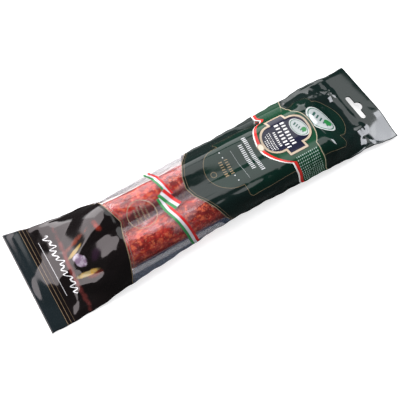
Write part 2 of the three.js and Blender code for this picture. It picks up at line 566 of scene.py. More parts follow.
        angles = np.linspace(tangent(0, valley_z, 1), tangent(foot, foot_z, -1), 48)
        arc = np.stack([self.meat_y + radius * np.cos(angles), self.meat_z + radius * np.sin(angles)], 1)
        return np.vstack([[0, valley_z], arc, [foot, foot_z]])

    def bottom_half(self, foot: float) -> Grid:
        """Half of the back web's underside, below the sausages.

        Args:
            foot: how far from the middle line it may reach.

        Returns:
            Its (y, z) points from the middle line to the foot.
        """
        rest = self.meat_y + self.radius / 2
        foot = min(foot, self.side + self.under_shoulder)
        share = np.linspace(0, 1, 12)
        rise = np.stack([rest + (foot - rest) * share, self.margin_rise * smooth(share)], 1)
        return np.vstack([[0, 0], rise])

    def web(
        self, half_section: Callable[[float], Grid], base: float, rows: int, columns: int
    ) -> tuple[Grid, Grid]:
        """A web as a grid of points, even along each section.

        Args:
            half_section: gives the section from the middle line to a foot, over the sausages.
            base: height of the web where the pouch is flat.
            rows: points along X.
            columns: points from the middle line to each edge.

        Returns:
            The points, and each point's place on the flat print.
        """
        xs = np.linspace(self.start, self.end, rows)
        full = self.fullness(xs)
        opening = 1 + self.flat_spread * (1 - full)
        points = np.zeros((rows, 2 * columns + 1, 3))
        flat = np.zeros((rows, 2 * columns + 1, 2))
        for i, x in enumerate(xs):
            for side in Side:
                edge = float(self.edge(x, side))
                room = side.value * (edge - self.sausage_shift * full[i]) / opening[i] - self.lip
                room = max(room, self.side + self.least_shoulder)
                half = half_section(min(room, self.side + self.far_shoulder))
                y = side.value * half[:, 0] * opening[i] + self.sausage_shift * full[i]
                z = self.lift(x) + base + (half[:, 1] - base) * full[i]
                y, z = np.append(y, edge), np.append(z, z[-1])
                steps = np.concatenate([[0], np.cumsum(np.hypot(np.diff(y), np.diff(z)))])
                even = np.linspace(0, steps[-1], columns + 1)
                at = columns + side.value * np.arange(columns + 1)
                points[i, at, 0] = x
                points[i, at, 1] = np.interp(even, steps, y)
                points[i, at, 2] = np.interp(even, steps, z)
                flat[i, at, 0] = x + self.print_shift[0] * full[i]
                flat[i, at, 1] = side.value * even + self.print_shift[1] * full[i]
        points[:, :, 2] += self.curl(points[:, :, 0], points[:, :, 1])
        return points, flat


def relaxed(points: Grid, passes: int) -> Grid:
    """Rounds the corners of a grid of points; the border keeps its place.

    Args:
        points: the grid.
        passes: how often each point moves halfway to its neighbours' middle.

    Returns:
        The rounded grid.
    """
    result = points.copy()
    for _ in range(passes):
        inner = result[1:-1, 1:-1]
        around = result[:-2, 1:-1] + result[2:, 1:-1] + result[1:-1, :-2] + result[1:-1, 2:]
        result[1:-1, 1:-1] = 0.5 * inner + 0.125 * around
    return result


def grid_normals(points: Grid) -> Grid:
    """Unit normals of a grid of points, up on a web seen from above.

    Args:
        points: the grid, rows along X.

    Returns:
        The normals, as a grid of vectors.
    """
    along = np.gradient(points, axis=0)
    across = np.gradient(points, axis=1)
    normal = np.cross(along, across)
    return normal / np.maximum(np.linalg.norm(normal, axis=2, keepdims=True), 1e-12)


@dataclass
class Facets:
    """A crumpled film's flat facets: heights at scattered points, joined by flat triangles."""

    seed: int
    spacing: tuple
    height: float
    margin: float = 0.08

    def field(self, flat: Grid) -> Grid:
        """The height at each place of a print grid.

        Args:
            flat: the grid's places on the flat print.

        Returns:
            The heights in metres.
        """
        tiny, close = 1e-12, 1e-9
        rng = np.random.RandomState(self.seed)
        low = flat.reshape(-1, 2).min(0) - 2 * np.array(self.spacing)
        high = flat.reshape(-1, 2).max(0) + 2 * np.array(self.spacing)
        counts = np.ceil((high - low) / self.spacing).astype(int)
        cells = np.stack(np.meshgrid(np.arange(counts[0]), np.arange(counts[1]), indexing="ij"), -1)
        scattered = cells.reshape(-1, 2) + rng.uniform(self.margin, 1 - self.margin, (cells.size // 2, 2))
        heights = rng.uniform(-1, 1, len(scattered)) * self.height
        found = delaunay_2d_cdt([Vector(p) for p in scattered], [], [], 0, 1e-6)
        corners = np.array([list(p) for p in found[0]])
        order = [source[0] for source in found[3]]
        heights = heights[order]
        place = (flat.reshape(-1, 2) - low) / self.spacing
        result = np.zeros(len(place))
        by_row = np.argsort(place[:, 0], kind="stable")
        sorted_u = place[by_row, 0]
        for triangle in found[2]:
            a, b, c = (corners[k] for k in triangle)
            first, last = np.searchsorted(sorted_u, [min(a[0], b[0], c[0]), max(a[0], b[0], c[0])])
            near = by_row[first:last]
            if not len(near):
                continue
            area = (b[0] - a[0]) * (c[1] - a[1]) - (c[0] - a[0]) * (b[1] - a[1])
            if abs(area) < tiny:
                continue
            d = place[near] - a
            s = (d[:, 0] * (c[1] - a[1]) - d[:, 1] * (c[0] - a[0])) / area
            t = (d[:, 1] * (b[0] - a[0]) - d[:, 0] * (b[1] - a[1])) / area
            hit = (s >= -close) & (t >= -close) & (s + t <= 1 + close)
            ha, hb, hc = (heights[k] for k in triangle)
            result[near[hit]] = ha + (hb - ha) * s[hit] + (hc - ha) * t[hit]
        return result.reshape(flat.shape[:2])


@dataclass(frozen=True)
class Wrinkles:
    """Facets over one stretch of the pack; lengths are millimetres on the print."""

    seed: int
    start: float
    end: float
    fade: float
    spacing: tuple
    height: float
    beside: tuple = (-90.0, 90.0)
    lift: float = 0.8

    def field(self, flat: Grid) -> Grid:
        """The height at each place of a print grid.

        Args:
            flat: the grid's places on the flat print.

        Returns:
            The heights in metres.
        """
        u, v = flat[..., 0] / MM, flat[..., 1] / MM
        mask = smooth((u - self.start) / self.fade) * smooth((self.end - u) / self.fade)
        mask = mask * smooth((v - self.beside[0]) / self.fade) * smooth((self.beside[1] - v) / self.fade)
        spacing = (self.spacing[0] * MM, self.spacing[1] * MM)
        height = self.height * MM
        return mask * (Facets(self.seed, spacing, height).field(flat) + height * self.lift)


@dataclass(frozen=True)
class Crease:
    """A fold line, sharp along its path and falling off to both sides; lengths in millimetres."""

    path: tuple
    height: float
    width: float

    def field(self, flat: Grid) -> Grid:
        """The height at each place of a print grid.

        Args:
            flat: the grid's places on the flat print.

        Returns:
            The heights in metres.
        """
        u, v = flat[..., 0] / MM, flat[..., 1] / MM
        away = np.full(u.shape, np.inf)
        for (u0, v0), (u1, v1) in zip(self.path, self.path[1:]):
            du, dv = u1 - u0, v1 - v0
            share = np.clip(((u - u0) * du + (v - v0) * dv) / (du * du + dv * dv), 0, 1)
            away = np.minimum(away, np.hypot(u - u0 - share * du, v - v0 - share * dv))
        return self.height * MM * np.clip(1 - away / self.width, 0, 1)


CRUMPLES = (
    # the tent beside the bottom seal
    Wrinkles(3, -184, -108, 8, (34, 26), 1.2),
    Wrinkles(11, -176, -106, 8, (13, 11), 0.3),
    Wrinkles(5, -128, -104, 6, (8, 7), 0.7, (26, 80)),
    # the clear window
    Wrinkles(8, -112, -30, 8, (18, 6), 0.3),
    Wrinkles(21, -112, -30, 8, (6, 5), 0.12),
    # the middle stretch and its flanks
    Wrinkles(14, -40, 60, 10, (60, 7), 0.36),
    Wrinkles(15, -40, 60, 10, (17, 9), 0.18),
    Wrinkles(16, -34, 56, 6, (17, 10), 1.3, (-80, -26)),
    Wrinkles(17, 34, 56, 5, (9, 8), 0.5, (30, 80)),
    # the slope up from the header, and the header
    Wrinkles(31, 112, 176, 6, (22, 18), 1.3, (18, 90)),
    Wrinkles(32, 112, 178, 6, (9, 8), 0.4, (20, 90)),
    Wrinkles(33, 112, 176, 6, (22, 16), 1.3, (-90, -20)),
    Wrinkles(34, 148, 178, 6, (16, 12), 0.6, (-30, 34)),
    Wrinkles(41, 166, 210, 6, (26, 24), 0.35),
    # the tent's ridge and folds
    Crease(((-104, 12), (-128, 6), (-150, -4), (-176, -14)), 4.0, 26),
    Crease(((-160, -20), (-166, -34), (-170, -52)), 1.0, 5),
    Crease(((-106, -14), (-126, -20), (-142, -34)), 1.0, 7),
    Crease(((-158, -30), (-140, -40), (-122, -48)), 2.0, 9),
    Crease(((-169, -34), (-177, -56)), 1.2, 6),
    Crease(((-197, -60), (-196, 60)), 0.5, 6),
    # two folds from the label to the header
    Crease(((116, 36), (140, 28), (170, 30)), 1.3, 8),
    Crease(((118, -34), (146, -30), (172, -24)), 1.2, 8),
)


# ---------------------------------------------------------------- mesh help


def deselect() -> None:
    """Leaves nothing selected."""
    bpy.ops.object.select_all(action="DESELECT")


def only(piece: bpy.types.Object) -> None:
    """Selects one piece alone, as the active one.

    Args:
        piece: the piece.
    """
    deselect()
    piece.select_set(True)
    bpy.context.view_layer.objects.active = piece


def on_all_faces(piece: bpy.types.Object, operator: Callable, **settings: object) -> None:
    """Runs an edit mode operator on the whole of a piece.

    Args:
        piece: the piece.
        operator: the operator.
        settings: the operator's settings.
    """
    only(piece)
    bpy.ops.object.mode_set(mode="EDIT")
    bpy.ops.mesh.select_all(action="SELECT")
    operator(**settings)
    bpy.ops.object.mode_set(mode="OBJECT")


def grid_piece(name: str, points: Grid, flat: Grid) -> bpy.types.Object:
    """A grid primitive laid along given points, with its print map.

    Args:
        name: the piece's name.
        points: its points, rows along X.
        flat: their places on the flat print.

    Returns:
        The piece.
    """
    rows, columns = points.shape[:2]
    deselect()
    bpy.ops.mesh.primitive_grid_add(x_subdivisions=columns - 1, y_subdivisions=rows - 1, size=1)
    piece = bpy.context.object
    piece.name = piece.data.name = name
    mesh = piece.data
    mesh.vertices.foreach_set("co", points.reshape(-1).astype(np.float32))
    uv = mesh.uv_layers[0] if mesh.uv_layers else mesh.uv_layers.new()
    uv.name = "print"
    corner = np.zeros(len(mesh.loops), np.int32)
    mesh.loops.foreach_get("vertex_index", corner)
    uv.data.foreach_set("uv", flat.reshape(-1, 2)[corner].reshape(-1).astype(np.float32))
    mesh.update()
    return piece


def use_modifier(piece: bpy.types.Object, kind: str, **settings: object) -> None:
    """Adds a modifier to a piece and applies it.

    Args:
        piece: the piece.
        kind: the modifier's type.
        settings: the modifier's settings.
    """
    only(piece)
    modifier = piece.modifiers.new(kind.title(), kind)
    for key, value in settings.items():
        setattr(modifier, key, value)
    bpy.ops.object.modifier_apply(modifier=modifier.name)


def sheet_piece(name: str, points: Grid, flat: Grid, wall: float, outwards: float) -> bpy.types.Object:
    """A sheet of film or label along given points, with its wall.

    Args:
        name: the piece's name.
        points: its points, rows along X.
        flat: their places on the flat print.
        wall: its thickness.
        outwards: 1 where the wall grows up from the points, -1 where it grows down.

    Returns:
        The piece.
    """
    piece = grid_piece(name, points, flat)
    turn_up(piece)
    use_modifier(piece, "SOLIDIFY", thickness=wall, offset=outwards, use_rim=True)
    return piece


@dataclass
class HangSlot:
    """The hang hole in the header: a straight slot with a round bulge towards the free end."""

    form: PouchForm
    length: float = 32 * MM
    width: float = 6 * MM
    hump: float = 10.5 * MM
    reach: float = 11 * MM
    inset: float = 10.5 * MM
    cut_bottom: float = -10 * MM
    cut_height: float = 50 * MM
    arc_points: int = 17

    def outline(self) -> list[tuple[float, float]]:
        """The slot's outline.

        Returns:
            Its (x, y) points, anticlockwise from its near end.
        """
        near_side = self.form.header_start + self.inset
        end_radius, hump_radius = self.width / 2, self.hump / 2
        middle_x, end_y = near_side + end_radius, self.length / 2 - end_radius
        hump_x = near_side + self.reach - hump_radius
        half_angle = math.asin(min((near_side + self.width - hump_x) / hump_radius, 1.0))
        points = []
        for (x, y), first, last, radius in (
            ((middle_x, -end_y), -math.pi, 0.0, end_radius),
            ((hump_x, 0.0), half_angle - math.pi / 2, math.pi / 2 - half_angle, hump_radius),
            ((middle_x, end_y), 0.0, math.pi, end_radius),
        ):
            for angle in np.linspace(first, last, self.arc_points):
                points.append((x + radius * math.cos(angle), y + radius * math.sin(angle)))
        return points

    def cut(self, piece: bpy.types.Object) -> None:
        """Cuts the slot through a piece.

        Args:
            piece: the piece.
        """
        outline = self.outline()
        deselect()
        bpy.ops.mesh.primitive_circle_add(vertices=len(outline), radius=0.01, fill_type="NGON")
        cutter = bpy.context.object
        for vertex, (x, y) in zip(cutter.data.vertices, outline):
            vertex.co = (x, y, self.cut_bottom)
        up = {"value": (0, 0, self.cut_height)}
        on_all_faces(cutter, bpy.ops.mesh.extrude_region_move, TRANSFORM_OT_translate=up)
        on_all_faces(cutter, bpy.ops.mesh.normals_make_consistent, inside=False)
        use_modifier(piece, "BOOLEAN", operation="DIFFERENCE", object=cutter, solver="EXACT")
        bpy.data.objects.remove(cutter)


def turn_up(piece: bpy.types.Object) -> None:
    """Turns a sheet's faces over where most of them point down.

    Args:
        piece: the sheet.
    """
    normals = np.zeros(len(piece.data.polygons) * 3)
    piece.data.polygons.foreach_get("normal", normals)
    if normals.reshape(-1, 3)[:, 2].sum() < 0:
        on_all_faces(piece, bpy.ops.mesh.flip_normals)


def finish(piece: bpy.types.Object, material: bpy.types.Material) -> bpy.types.Object:
    """Shades a piece smooth and dresses it.

    Args:
        piece: the piece.
        material: its finish.

    Returns:
        The piece.
    """
    only(piece)
    bpy.ops.object.shade_smooth()
    piece.data.materials.append(material)
    return piece


# ---------------------------------------------------------------- label outline


class LabelOutline:
    """The label's two borders as places along the pack, in millimetres on the print.

    Each border bulges round the plaque, and has a nearly straight wing on both sides of the bulge.
    """

    middle = 2.0
    start_centre, start_radius, start_reach = 79.5, 33.0, 30.5
    far_start, near_start, start_bend = 74.0, 67.8, 38.0
    end_centre, end_radius = 83.4, 30.3
    far_end, near_end, end_foot, end_bend = 104.4, 103.2, 21.0, 34.0

    @classmethod
    def start(cls, v: Value) -> Value:
        """The border nearer the bottom seal.

        Args:
            v: place across the print.

        Returns:
            The border's place along the print.
        """
        beside = abs(v - cls.middle)
        bulge = cls.start_centre - root(larger(cls.start_radius**2 - beside * beside, 0.0))
        past = beside - cls.start_bend
        far_wing = cls.far_start + past * 0.06 + smaller(past, 0.0) * 0.7
        near_wing = cls.near_start + past * 0.12 + larger(past, 0.0) * 0.12
        far = above(v, 0.0)
        wing = far_wing * far + near_wing * (1.0 - far)
        outside = above(beside, cls.start_reach)
        return bulge * (1.0 - outside) + wing * outside

    @classmethod
    def end(cls, v: Value) -> Value:
        """The border nearer the header.

        Args:
            v: place across the print.

        Returns:
            The border's place along the print.
        """
        beside = abs(v - cls.middle)
        bulge = cls.end_centre + root(larger(cls.end_radius**2 - beside * beside, 0.0))
        bend = larger(beside - cls.end_bend, 0.0)
        far_wing = cls.far_end + (beside - cls.end_foot) * 0.15 + bend * 0.13
        near_wing = cls.near_end + bend * 0.2
        far = above(v, 0.0)
        return larger(bulge, far_wing * far + near_wing * (1.0 - far))


# ---------------------------------------------------------------- finishes


BLURRED_FOOD = (
    Spot((-162.5, -8.0), (4.2, 62.0), -4.0, (0.26, 0.05, 0.045)),
    Spot((-147.0, 9.0), (17.0, 3.6), 10.0, (0.3, 0.06, 0.03)),
    Spot((-124.2, 8.2), (3.6, 9.0), 14.0, (0.42, 0.04, 0.02)),
    Spot((-147.0, -27.0), (11.0, 5.0), -20.0, (0.2, 0.03, 0.015)),
    Spot((-137.0, -13.0), (12.0, 7.0), 30.0, (0.03, 0.012, 0.03)),
)
GARLIC = Spot((-150.8, -9.0), (9.5, 15.0), 14.0)
WEDGES = (Spot((-151.5, 0.9), (16.0, 4.0), 16.0), Spot((-152.4, -22.8), (19.0, 4.4), -13.0))
STAMP_ROWS = (
    Row((-92.0, -2.5), (15.0, 1.9), 9),
    Row((-88.4, -2.5), (19.0, 1.9), 11),
    Row((-84.4, -2.5), (18.0, 1.9), 10),
    Row((-80.6, -2.5), (14.0, 1.9), 8),
)
GOLD_ROWS = (Row((4.6, -0.5), (18.5, 3.6), 7), Row((10.9, -0.5), (18.5, 3.6), 7))
WHITE_ROWS = (Row((38.9, -0.1), (41.0, 4.2), 20, 87.0), Row((31.8, -0.1), (30.0, 4.2), 14, 87.0))
WHITE_DOTS = ((10.3, 16.7), (10.3, 10.7), (10.3, -11.8), (10.3, -18.1))
PLAQUE_ROWS = (
    Row((83.5, 2.3), (28.5, 4.6), 8, 85.5),
    Row((76.4, 1.7), (30.5, 4.6), 8, 85.5),
    Row((70.1, 1.8), (17.5, 2.6), 8, 85.5),
    Row((65.2, 1.8), (21.0, 1.2), 11, 85.5),
    Row((62.6, 1.8), (20.0, 1.2), 10, 85.5),
    Row((60.0, 1.8), (17.5, 1.2), 9, 85.5),
    Row((57.4, 1.8), (9.0, 1.2), 5, 85.5),
)


@dataclass(frozen=True)
class OvalBadge:
    """A plain oval badge: a pale rim and plate, a row of bars, a red crescent and a green disc."""

    centre: tuple
    short: float
    long: float
    turn: float
    rim: Colour = (0.5, 0.53, 0.52)
    ring: Colour = (0.02, 0.11, 0.07)
    plate: Colour = (0.42, 0.46, 0.46)
    red: Colour = (0.42, 0.03, 0.03)
    bars: Colour = (0.03, 0.1, 0.08)
    green: Colour = (0.02, 0.2, 0.05)

    def on(self, bench: Bench, draw: Print, ground: Wire) -> Wire:
        """Prints the badge.

        Args:
            bench: the material's bench.
            draw: the print's drawing place.
            ground: the colour under it.

        Returns:
            The colour with the badge on it.
        """
        (u, v), size, short = self.centre, (self.short, self.long), self.short
        outer = draw.oval(self.centre, size, self.turn)
        for inset, colour in ((0.0, self.rim), (0.05, self.ring), (0.085, self.plate)):
            ground = bench.mix(draw.inside(outer + short * inset), ground, colour)
        low = Print(draw.u + short * 0.14, draw.v)
        past = low.oval((u + short * 0.26, v), size, self.turn)
        crescent = draw.inside(outer + short * 0.15) * draw.beyond(past, 0.0)
        ground = bench.mix(crescent, ground, self.red)
        across = self.turn + 90.0
        bars = draw.blocks(self.centre, (self.long * 0.62, short * 0.24), 5, across, 3.0)
        ground = bench.mix(bars, ground, self.bars)
        c, s = math.cos(math.radians(across)), math.sin(math.radians(across))
        out, along = short * 0.12, self.long * 0.22
        disc = (u + s * out - c * along, v - c * out - s * along)
        return bench.mix(draw.inside(draw.oval(disc, (short * 0.36, short * 0.36))), ground, self.green)


@dataclass(frozen=True)
class FilmFinish:
    """Printed glossy film with a clear window; lengths are millimetres on the flat print."""

    name: str = "printed film"
    face: Face = Face.FRONT
    green: Colour = (0.0015, 0.017, 0.011)
    grey: Colour = (0.004, 0.012, 0.0105)
    seal: Colour = (0.0095, 0.0155, 0.0185)
    brown: Colour = (0.006, 0.004, 0.0042)
    black: Colour = (0.002, 0.004, 0.004)
    gold: Colour = (0.21, 0.155, 0.09)
    stamp: Colour = (0.34, 0.24, 0.15)
    white: Colour = (0.72, 0.74, 0.76)
    ribbon_green: Colour = (0.035, 0.2, 0.06)
    ribbon_white: Colour = (0.56, 0.55, 0.6)
    ribbon_red: Colour = (0.5, 0.02, 0.02)
    clear: Colour = (0.85, 0.86, 0.9)
    # painted pink reflection of the film over the sausages
    painted_pink_reflection: Colour = (0.62, 0.4, 0.42)
    # painted reflection of the bright backdrop on the window's far flank
    pale: Colour = (0.6, 0.58, 0.62)
    # painted shading in the valley between the sausages
    painted_valley_shading: Colour = (0.055, 0.04, 0.046)
    # painted shadow of the sausages on the window's near side
    painted_near_shadow: Colour = (0.07, 0.1, 0.16)
    roughness: float = 0.1
    mirror: float = 0.045
    falloff: float = 5.0
    # where the painted shadow on the near side begins across the print
    painted_shadow_start: float = 44.0
    seal_end: float = -189.0
    picture_end: float = -76.3
    left_tip: float = -106.3
    right_tip: float = -37.6
    crest_middle: float = 73.0
    crest_half: float = 37.2
    crest_body: float = 60.3
    crest_round: float = 24.5
    badge: OvalBadge = OvalBadge((126.2, 0.6), 26.5, 36.6, 25.0)

    def window_edges(self, draw: Print) -> tuple[Wire, Wire]:
        """The window's two pointed borders.

        Args:
            draw: the print's drawing place.

        Returns:
            Distances past the left and the right border, positive inside the window.
        """
        beside = abs(draw.v)
        left = self.left_tip - beside * 0.33 + (beside - 14.0).high(0.0) * 0.1
        right = self.right_tip + beside * 0.22 + (beside - 11.0).high(0.0) * 0.33
        return draw.u - left, right - draw.u

    def ribbon(self, draw: Print) -> tuple[Wire, Wire]:
        """The printed three-coloured ribbon with a fold in its middle.

        Args:
            draw: the print's drawing place.

        Returns:
            Where across the ribbon the place is, from 0 to 1, and the ribbon's mask.
        """
        u, v = draw.u, draw.v
        upper_half, lower_half, fold_half, fold_reach = 3.55, 4.15, 5.0, 10.7
        upper = u + 56.7 - (22.0 - v).high(0.0) * 0.17 - (v - 22.0).high(0.0) * 0.037
        upper_on = draw.inside(abs(upper) - upper_half) * draw.beyond(v, 2.0)
        lower = u + 63.4 - (4.0 - v).high(0.0) * 0.05 - (-11.0 - v).high(0.0) * 0.19
        lower_on = draw.inside(abs(lower) - lower_half) * (1.0 - draw.beyond(v, 4.0))
        along, across = draw.turned((-56.5, -2.0), -68.9)
        fold_on = draw.inside((abs(along) - fold_reach).high(abs(across) - fold_half))
        share = (upper / (2 * upper_half) + 0.5) * upper_on
        share = share * (1.0 - lower_on) + (lower / (2 * lower_half) + 0.5) * lower_on
        share = share * (1.0 - fold_on) + (across / (2 * fold_half) + 0.5) * fold_on
        return share, joined((upper_on, lower_on, fold_on))

    def crest(self, draw: Print) -> Wire:
        """The large shield outline.

        Args:
            draw: the print's drawing place.

        Returns:
            The signed distance to it, negative within.
        """
        a = abs(draw.u - self.crest_middle)
        b = abs(draw.v)
        beyond = (a - self.crest_body - 2.2).high(0.0)
        bulge = (beyond * beyond + b * b).root() - self.crest_round
        body = (a - self.crest_body).high(b - self.crest_half)
        notch = (a - self.crest_body + 2.5) * 0.7 + (b - self.crest_half + 3.5) * 0.7 - 2.5
        return bulge.low(body.high(notch))

    def food(self, bench: Bench, draw: Print, ground: Wire) -> Wire:
        """The printed picture beside the bottom seal: a board with blurred slices of food.

        Args:
            bench: the material's bench.
            draw: the print's drawing place.
            ground: the colour under it.

        Returns:
            The colour with the picture on it.
        """
        soft = Print(draw.u, draw.v, 1.6)
        crisp = Print(draw.u, draw.v, 0.7)
        wobble = bench.noise(bench.place(), 160.0, 3.0)

        def patch(pen: Print, spot: Spot, uneven: float) -> Wire:
            """Mask of a spot with an uneven outline."""
            return pen.inside(pen.oval(spot.centre, spot.size, spot.turn) + (wobble - 0.5) * uneven)

        for spot in BLURRED_FOOD:
            ground = bench.mix(patch(soft, spot, 4.0) * 0.65, ground, spot.colour)
        skin = bench.mix(wobble.ramp(0.35, 0.6), (0.55, 0.53, 0.62), (0.24, 0.17, 0.26))
        ground = bench.mix(patch(crisp, GARLIC, 3.5), ground, skin)
        yolk = bench.mix(wobble.ramp(0.3, 0.65), (0.5, 0.29, 0.05), (0.42, 0.34, 0.16))
        for spot in WEDGES:
            ground = bench.mix(patch(crisp, spot, 1.6), ground, yolk)
        return ground

    def flourish(self, draw: Print) -> Wire:
        """A looping white pen stroke in place of handwriting, with a thin line under it.

        Args:
            draw: the print's drawing place.

        Returns:
            Its mask.
        """
        slanted = draw.v + (draw.u + 168.4) * 0.35
        wave = (slanted * 1.05).sine() * ((slanted * 0.43 + 0.6).sine() * 0.9 + 2.3)
        tall = (slanted * 0.31 + 1.3).sine() * 1.5
        slope = (slanted * 1.05 + math.pi / 2).sine() * 2.6
        away = abs(draw.u + 168.7 + draw.v * 0.03 - wave - tall) / (slope * slope + 1.0).root()
        stroke = draw.inside(away - 0.5) * draw.inside(abs(draw.v) - 33.0)
        under = draw.line(draw.u + 178.2, 0.45) * draw.inside(abs(draw.v) - 30.0)
        return stroke.high(under * 0.7)

    def gloss(self, bench: Bench) -> Wire:
        """How much a face of the film mirrors, alike from both of its sides."""
        facing = bench.add("ShaderNodeLayerWeight", {}, {"Blend": 0.5}, "Facing")
        return facing.math("POWER", self.falloff) * (1 - self.mirror) + self.mirror

    def painted_reflection_and_shade(self, bench: Bench, draw: Print) -> tuple[Wire, Wire]:
        """Painted light on the clear window: painted reflections and painted shading, laid on as colour.

        Args:
            bench: the material's bench.
            draw: the print's drawing place.

        Returns:
            How much the painted reflection and shading cover each place, and their colour.
        """
        # painted shadow of the sausages along the near side of the window
        near = (-draw.v).ramp(self.painted_shadow_start, self.painted_shadow_start + 2.0)
        # the back web gets only the painted shadow on its near side
        if self.face is Face.BACK:
            return near * 0.6, bench.mix(near, self.painted_pink_reflection, self.painted_near_shadow)
        # streaks of painted pink reflection over the sausages
        streaks = bench.noise(bench.stretched(bench.place(), (0.35, 1.0, 1.0)), 60.0, 3.0, 0.6)
        # painted shading along the valley between the sausages
        valley = 1.0 - abs(draw.v + 3.0).ramp(3.5, 8.5)
        # band of painted reflection of the bright backdrop along the far flank
        far = draw.v.ramp(31.0, 37.0)
        # how much painted reflection: the streaks, a little more towards the far side, and more painted
        # shading in the valley
        amount = streaks.ramp(0.5, 0.64) * 0.2 + (draw.v - 12.0).ramp(0.0, 10.0) * 0.05
        amount = amount * (1.0 - valley) + valley * 0.3
        # colour of the painted light: pink reflection, shading in the valley, pale reflection on the far
        # flank
        painted_light_colour = bench.mix(far, bench.mix(valley, self.painted_pink_reflection, self.painted_valley_shading), self.pale)
        return joined((amount, far * 0.16, near * 0.5)), bench.mix(near, painted_light_colour, self.painted_near_shadow)

    def gold_print(self, draw: Print, crest: Wire, from_left: Wire, from_right: Wire) -> Wire:
        """The gold lines round the shield, the window and the seal, and the gold rows.

        Args:
            draw: the print's drawing place.
            crest: distance to the shield.
            from_left: distance past the window's left border.
            from_right: distance past its right border.

        Returns:
            Their mask.
        """
        lines = (
            (crest, 0.55, 0.6),
            (draw.u + 188.7, 0.5, 0.8),
            (draw.u + 185.6, 0.45, 0.7),
            (draw.u + 182.4, 0.35, 0.4),
            (from_left + 0.2, 0.8, 1.0),
            (from_left - 2.3, 0.5, 0.8),
            (from_right + 0.2, 0.8, 1.0),
            (from_right + 2.8, 0.4, 0.7),
            (draw.oval((-6.8, -0.6), (5.6, 5.6)), 0.8, 0.6),
        )
        drawn = [draw.line(distance, width) * strength for distance, width, strength in lines]
        return joined(drawn + [row.mask(draw) for row in GOLD_ROWS])

    def stamp_print(self, draw: Print) -> Wire:
        """The round stamp on the window: a ring with rows of blocks in it."""
        ring = draw.line(draw.oval((-86.0, -2.8), (27.6, 28.6)), 0.7)
        return joined([ring] + [row.mask(draw) * 0.85 for row in STAMP_ROWS])

    def white_print(self, draw: Print) -> Wire:
        """The pen stroke and the white rows, dots and line of the middle stretch.

        Args:
            draw: the print's drawing place.

        Returns:
            Their mask.
        """
        rows = [row.mask(draw) * 0.75 for row in WHITE_ROWS]
        dots = [draw.inside(draw.oval(dot, (1.3, 1.3))) * 0.7 for dot in WHITE_DOTS]
        line = draw.line(draw.u - 21.0, 0.3) * draw.inside(abs(draw.v + 4.0) - 17.5) * 0.4
        return joined([self.flourish(draw), line] + rows + dots)

    def ground(self, bench: Bench, draw: Print, crest: Wire) -> Wire:
        """The film's printed ground, with the picture on the front web.

        Args:
            bench: the material's bench.
            draw: the print's drawing place.
            crest: distance to the shield.

        Returns:
            The colour.
        """
        colour = bench.mix(draw.inside(crest), self.grey, self.green)
        colour = bench.mix(1.0 - draw.beyond(draw.u, self.picture_end), colour, self.brown)
        if self.face is Face.FRONT:
            colour = self.food(bench, draw, colour)
        colour = bench.mix(1.0 - draw.beyond(draw.u, self.seal_end), colour, self.seal)
        return bench.mix(bench.noise(bench.place(), 35.0, 2.0) * 0.35, colour, self.black)

    def material(self) -> bpy.types.Material:
        """Builds the film's material.

        Returns:
            The material.
        """
        bench = Bench(self.name)
        draw = bench.print_place()
        from_left, from_right = self.window_edges(draw)
        crest = self.crest(draw)
        colour = self.ground(bench, draw, crest)
        ink = 1.0 - draw.beyond(from_left, 0.0) * draw.beyond(from_right, 0.0)
        if self.face is Face.FRONT:
            gold = self.gold_print(draw, crest, from_left, from_right)
            stamp = self.stamp_print(draw)
            colour = bench.mix(gold, colour, self.gold)
            colour = bench.mix(stamp, colour, self.stamp)
            colour = bench.mix(self.white_print(draw), colour, self.white)
            colour = self.badge.on(bench, draw, colour)
            share, ribbon = self.ribbon(draw)
            bands = bench.mix(share.ramp(0.29, 0.35), self.ribbon_green, self.ribbon_white)
            bands = bench.mix(share.ramp(0.62, 0.68), bands, self.ribbon_red)
            colour = bench.mix(ribbon, colour, bands)
            ink = joined((ink, gold, stamp, ribbon))
        # painted reflection and painted shading over the window, laid on as colour
        painted_reflection_and_shade, painted_light_colour = self.painted_reflection_and_shade(bench, draw)
        clear = {"Base Color": self.clear, "Metallic": 1.0, "Roughness": self.roughness}
        clear["Alpha"] = self.gloss(bench)
        # where there is no ink, the printed shader shows the painted reflection and shading colour
        printed = {"Base Color": bench.mix(ink, painted_light_colour, colour), "Roughness": self.roughness, "IOR": 1.6}
        sides = {0: ink.high(painted_reflection_and_shade), 1: bench.surface(clear), 2: bench.surface(printed)}
        return bench.output(bench.add("ShaderNodeMixShader", {}, sides))


@dataclass(frozen=True)
class MeatFinish:
    """Cured sausage: mottled meat and fat under a moist casing."""

    name: str = "cured meat"
    dark: Colour = (0.2, 0.009, 0.009)
    red: Colour = (0.46, 0.024, 0.017)
    fat: Colour = (0.68, 0.13, 0.05)
    vein: Colour = (0.09, 0.004, 0.005)
    speck: Colour = (0.75, 0.3, 0.18)

    def material(self) -> bpy.types.Material:
        """Builds the sausage's material.

        Returns:
            The material.
        """
        bench = Bench(self.name)
        where = bench.place()
        blotch = bench.noise(bench.stretched(where, (0.7, 1.0, 1.0)), 75.0, 4.0, 0.6)
        fleck = bench.noise(where, 230.0, 3.0, 0.6)
        small = bench.noise(where, 700.0, 2.0)
        meat = bench.mix(blotch.ramp(0.38, 0.58), self.dark, self.red)
        meat = bench.mix(fleck.ramp(0.53, 0.62) * 0.8, meat, self.fat)
        meat = bench.mix(fleck.ramp(0.47, 0.38) * 0.6, meat, self.vein)
        meat = bench.mix(small.ramp(0.58, 0.7) * 0.5, meat, self.speck)
        relief = {"Strength": 0.6, "Distance": 0.0008, "Height": blotch + fleck * 0.4}
        bump = bench.add("ShaderNodeBump", {}, relief)
        sockets = {"Base Color": meat, "Roughness": 0.32 + fleck * 0.15, "Normal": bump}
        return bench.output(bench.surface(sockets))


